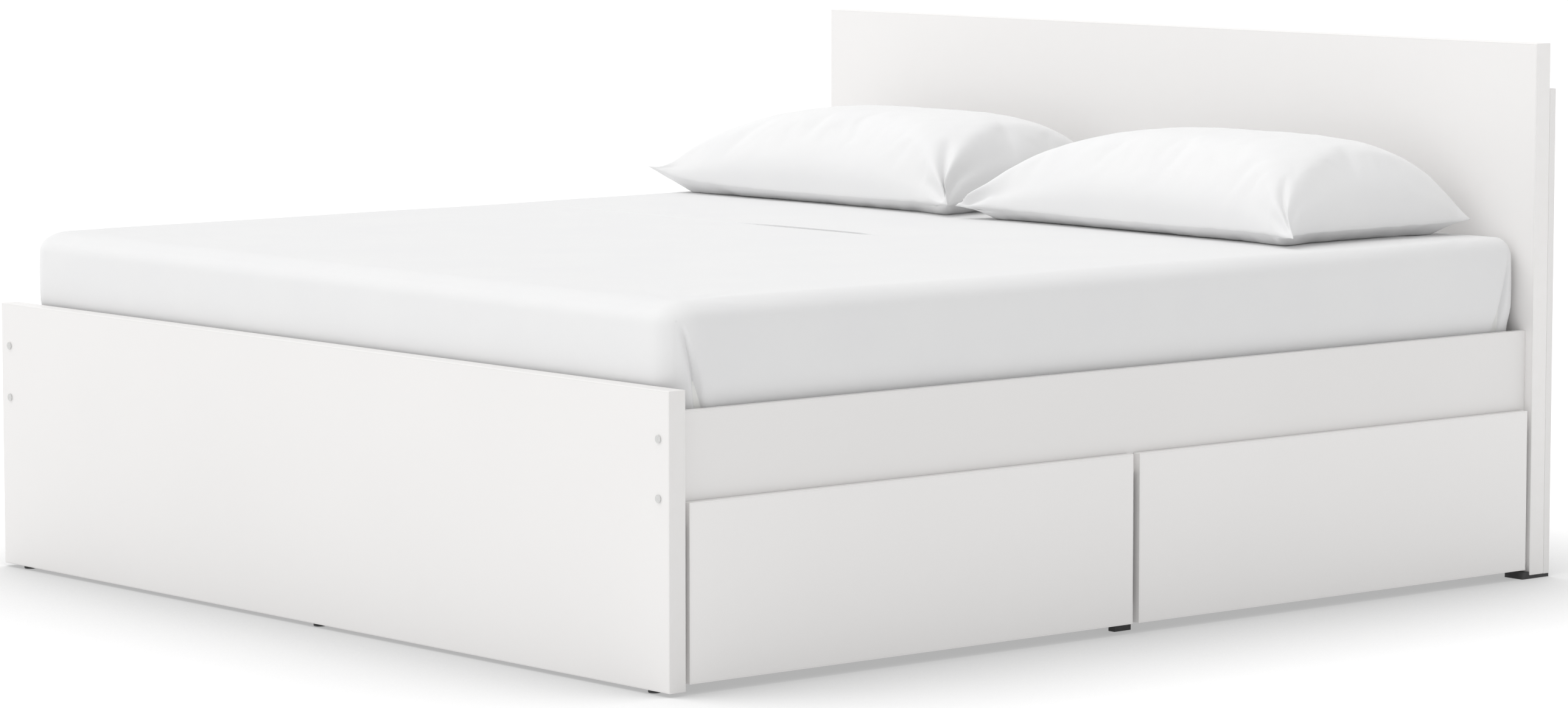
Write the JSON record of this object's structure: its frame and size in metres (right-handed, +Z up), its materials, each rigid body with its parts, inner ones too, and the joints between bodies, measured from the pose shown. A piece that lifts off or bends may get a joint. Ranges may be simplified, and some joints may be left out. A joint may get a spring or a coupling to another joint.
{
  "type": "platform bed with storage drawers",
  "caption": "White king-size platform bed with panel footboard and headboard, slatted base, rolling under-bed drawers, mattress and pillows.",
  "frame": {"origin": "on the floor under the middle of the bed's overall length and width", "axes": "+X to the right-hand side of the bed, +Y to the headboard, +Z up"},
  "size_m": [2, 2.1384, 1.002],
  "materials": {
    "white_board": "smooth white foil on particle board",
    "white_panel": "white lacquered fibreboard",
    "pine": "planed, untreated",
    "steel": "zinc plated",
    "white_bolt": "white enamel head, flat with a hexagon socket",
    "black_plastic": "moulded, fine texture",
    "black_steel": "black powder coat",
    "black_wheel": "moulded hard tread",
    "mattress_fabric": "quilted knit",
    "cotton_sheet": "plain woven cotton, fitted",
    "cotton_pillow": "plain woven cotton"
  },
  "bodies": {
    "frame": {"footboard": "white_board", "headboard": "white_board", "headboard_post_right": "white_board", "headboard_post_left": "white_board", "headboard_crossbar": "white_board", "side_rail_right": "white_board", "side_rail_left": "white_board", "slat_cleat_right": "pine", "slat_cleat_left": "pine", "rail_leg_right": "black_steel", "rail_leg_left": "black_steel", "slats_right": "pine", "slats_left": "pine", "slat_screws": "steel", "centre_beam": "pine", "centre_legs": "pine", "centre_leg_feet": "black_plastic", "beam_hangers": "steel", "rail_bolts": "white_bolt", "barrel_nuts": "steel", "rail_dowels": "pine", "post_screws": "steel", "footboard_glides": "black_plastic", "headboard_glides": "black_plastic"},
    "mattress": {"mattress": "mattress_fabric", "fitted_sheet": "cotton_sheet"},
    "pillow_left": {"pillow_left": "cotton_pillow"},
    "pillow_right": {"pillow_right": "cotton_pillow"},
    "foot_drawer_right": {"foot_drawer_right_front": "white_board", "foot_drawer_right_foot_side": "white_board", "foot_drawer_right_head_side": "white_board", "foot_drawer_right_back": "white_board", "foot_drawer_right_bottom": "white_panel", "foot_drawer_right_casters": "black_plastic"},
    "foot_drawer_right_front_wheels": {"foot_drawer_right_front_wheels": "black_wheel"},
    "foot_drawer_right_back_wheels": {"foot_drawer_right_back_wheels": "black_wheel"},
    "foot_drawer_left": {"foot_drawer_left_front": "white_board", "foot_drawer_left_foot_side": "white_board", "foot_drawer_left_head_side": "white_board", "foot_drawer_left_back": "white_board", "foot_drawer_left_bottom": "white_panel", "foot_drawer_left_casters": "black_plastic"},
    "foot_drawer_left_front_wheels": {"foot_drawer_left_front_wheels": "black_wheel"},
    "foot_drawer_left_back_wheels": {"foot_drawer_left_back_wheels": "black_wheel"},
    "head_drawer_right": {"head_drawer_right_front": "white_board", "head_drawer_right_foot_side": "white_board", "head_drawer_right_head_side": "white_board", "head_drawer_right_back": "white_board", "head_drawer_right_bottom": "white_panel", "head_drawer_right_casters": "black_plastic"},
    "head_drawer_right_front_wheels": {"head_drawer_right_front_wheels": "black_wheel"},
    "head_drawer_right_back_wheels": {"head_drawer_right_back_wheels": "black_wheel"},
    "head_drawer_left": {"head_drawer_left_front": "white_board", "head_drawer_left_foot_side": "white_board", "head_drawer_left_head_side": "white_board", "head_drawer_left_back": "white_board", "head_drawer_left_bottom": "white_panel", "head_drawer_left_casters": "black_plastic"},
    "head_drawer_left_front_wheels": {"head_drawer_left_front_wheels": "black_wheel"},
    "head_drawer_left_back_wheels": {"head_drawer_left_back_wheels": "black_wheel"}
  },
  "joints": [
    {"name": "foot_drawer_right_slide", "type": "slide", "parent": "frame", "child": "foot_drawer_right", "axis": [1, 0, 0], "range_m": [0, 0.5]},
    {"name": "foot_drawer_right_front_wheels_spin", "type": "hinge", "parent": "foot_drawer_right", "child": "foot_drawer_right_front_wheels", "pos_m": [0.812, -0.5195, 0.02], "axis": [0, 1, 0], "continuous": true},
    {"name": "foot_drawer_right_back_wheels_spin", "type": "hinge", "parent": "foot_drawer_right", "child": "foot_drawer_right_back_wheels", "pos_m": [0.406, -0.5195, 0.02], "axis": [0, 1, 0], "continuous": true},
    {"name": "foot_drawer_left_slide", "type": "slide", "parent": "frame", "child": "foot_drawer_left", "axis": [-1, 0, 0], "range_m": [0, 0.5]},
    {"name": "foot_drawer_left_front_wheels_spin", "type": "hinge", "parent": "foot_drawer_left", "child": "foot_drawer_left_front_wheels", "pos_m": [-0.812, -0.5195, 0.02], "axis": [0, -1, 0], "continuous": true},
    {"name": "foot_drawer_left_back_wheels_spin", "type": "hinge", "parent": "foot_drawer_left", "child": "foot_drawer_left_back_wheels", "pos_m": [-0.406, -0.5195, 0.02], "axis": [0, -1, 0], "continuous": true},
    {"name": "head_drawer_right_slide", "type": "slide", "parent": "frame", "child": "head_drawer_right", "axis": [1, 0, 0], "range_m": [0, 0.5]},
    {"name": "head_drawer_right_front_wheels_spin", "type": "hinge", "parent": "head_drawer_right", "child": "head_drawer_right_front_wheels", "pos_m": [0.812, 0.5005, 0.02], "axis": [0, 1, 0], "continuous": true},
    {"name": "head_drawer_right_back_wheels_spin", "type": "hinge", "parent": "head_drawer_right", "child": "head_drawer_right_back_wheels", "pos_m": [0.406, 0.5005, 0.02], "axis": [0, 1, 0], "continuous": true},
    {"name": "head_drawer_left_slide", "type": "slide", "parent": "frame", "child": "head_drawer_left", "axis": [-1, 0, 0], "range_m": [0, 0.5]},
    {"name": "head_drawer_left_front_wheels_spin", "type": "hinge", "parent": "head_drawer_left", "child": "head_drawer_left_front_wheels", "pos_m": [-0.812, 0.5005, 0.02], "axis": [0, -1, 0], "continuous": true},
    {"name": "head_drawer_left_back_wheels_spin", "type": "hinge", "parent": "head_drawer_left", "child": "head_drawer_left_back_wheels", "pos_m": [-0.406, 0.5005, 0.02], "axis": [0, -1, 0], "continuous": true},
    {"name": "mattress_lift", "type": "slide", "parent": "frame", "child": "mattress", "axis": [0, 0, 1], "range_m": [0, 0.3]},
    {"name": "pillow_left_lift", "type": "slide", "parent": "mattress", "child": "pillow_left", "axis": [0, 0, 1], "range_m": [0, 0.25]},
    {"name": "pillow_right_lift", "type": "slide", "parent": "mattress", "child": "pillow_right", "axis": [0, 0, 1], "range_m": [0, 0.25]}
  ],
  "couplings": [
    {"joint": "foot_drawer_right_front_wheels_spin", "follows": "foot_drawer_right_slide", "rad_per_m": 50},
    {"joint": "foot_drawer_right_back_wheels_spin", "follows": "foot_drawer_right_slide", "rad_per_m": 50},
    {"joint": "foot_drawer_left_front_wheels_spin", "follows": "foot_drawer_left_slide", "rad_per_m": 50},
    {"joint": "foot_drawer_left_back_wheels_spin", "follows": "foot_drawer_left_slide", "rad_per_m": 50},
    {"joint": "head_drawer_right_front_wheels_spin", "follows": "head_drawer_right_slide", "rad_per_m": 50},
    {"joint": "head_drawer_right_back_wheels_spin", "follows": "head_drawer_right_slide", "rad_per_m": 50},
    {"joint": "head_drawer_left_front_wheels_spin", "follows": "head_drawer_left_slide", "rad_per_m": 50},
    {"joint": "head_drawer_left_back_wheels_spin", "follows": "head_drawer_left_slide", "rad_per_m": 50}
  ]
}
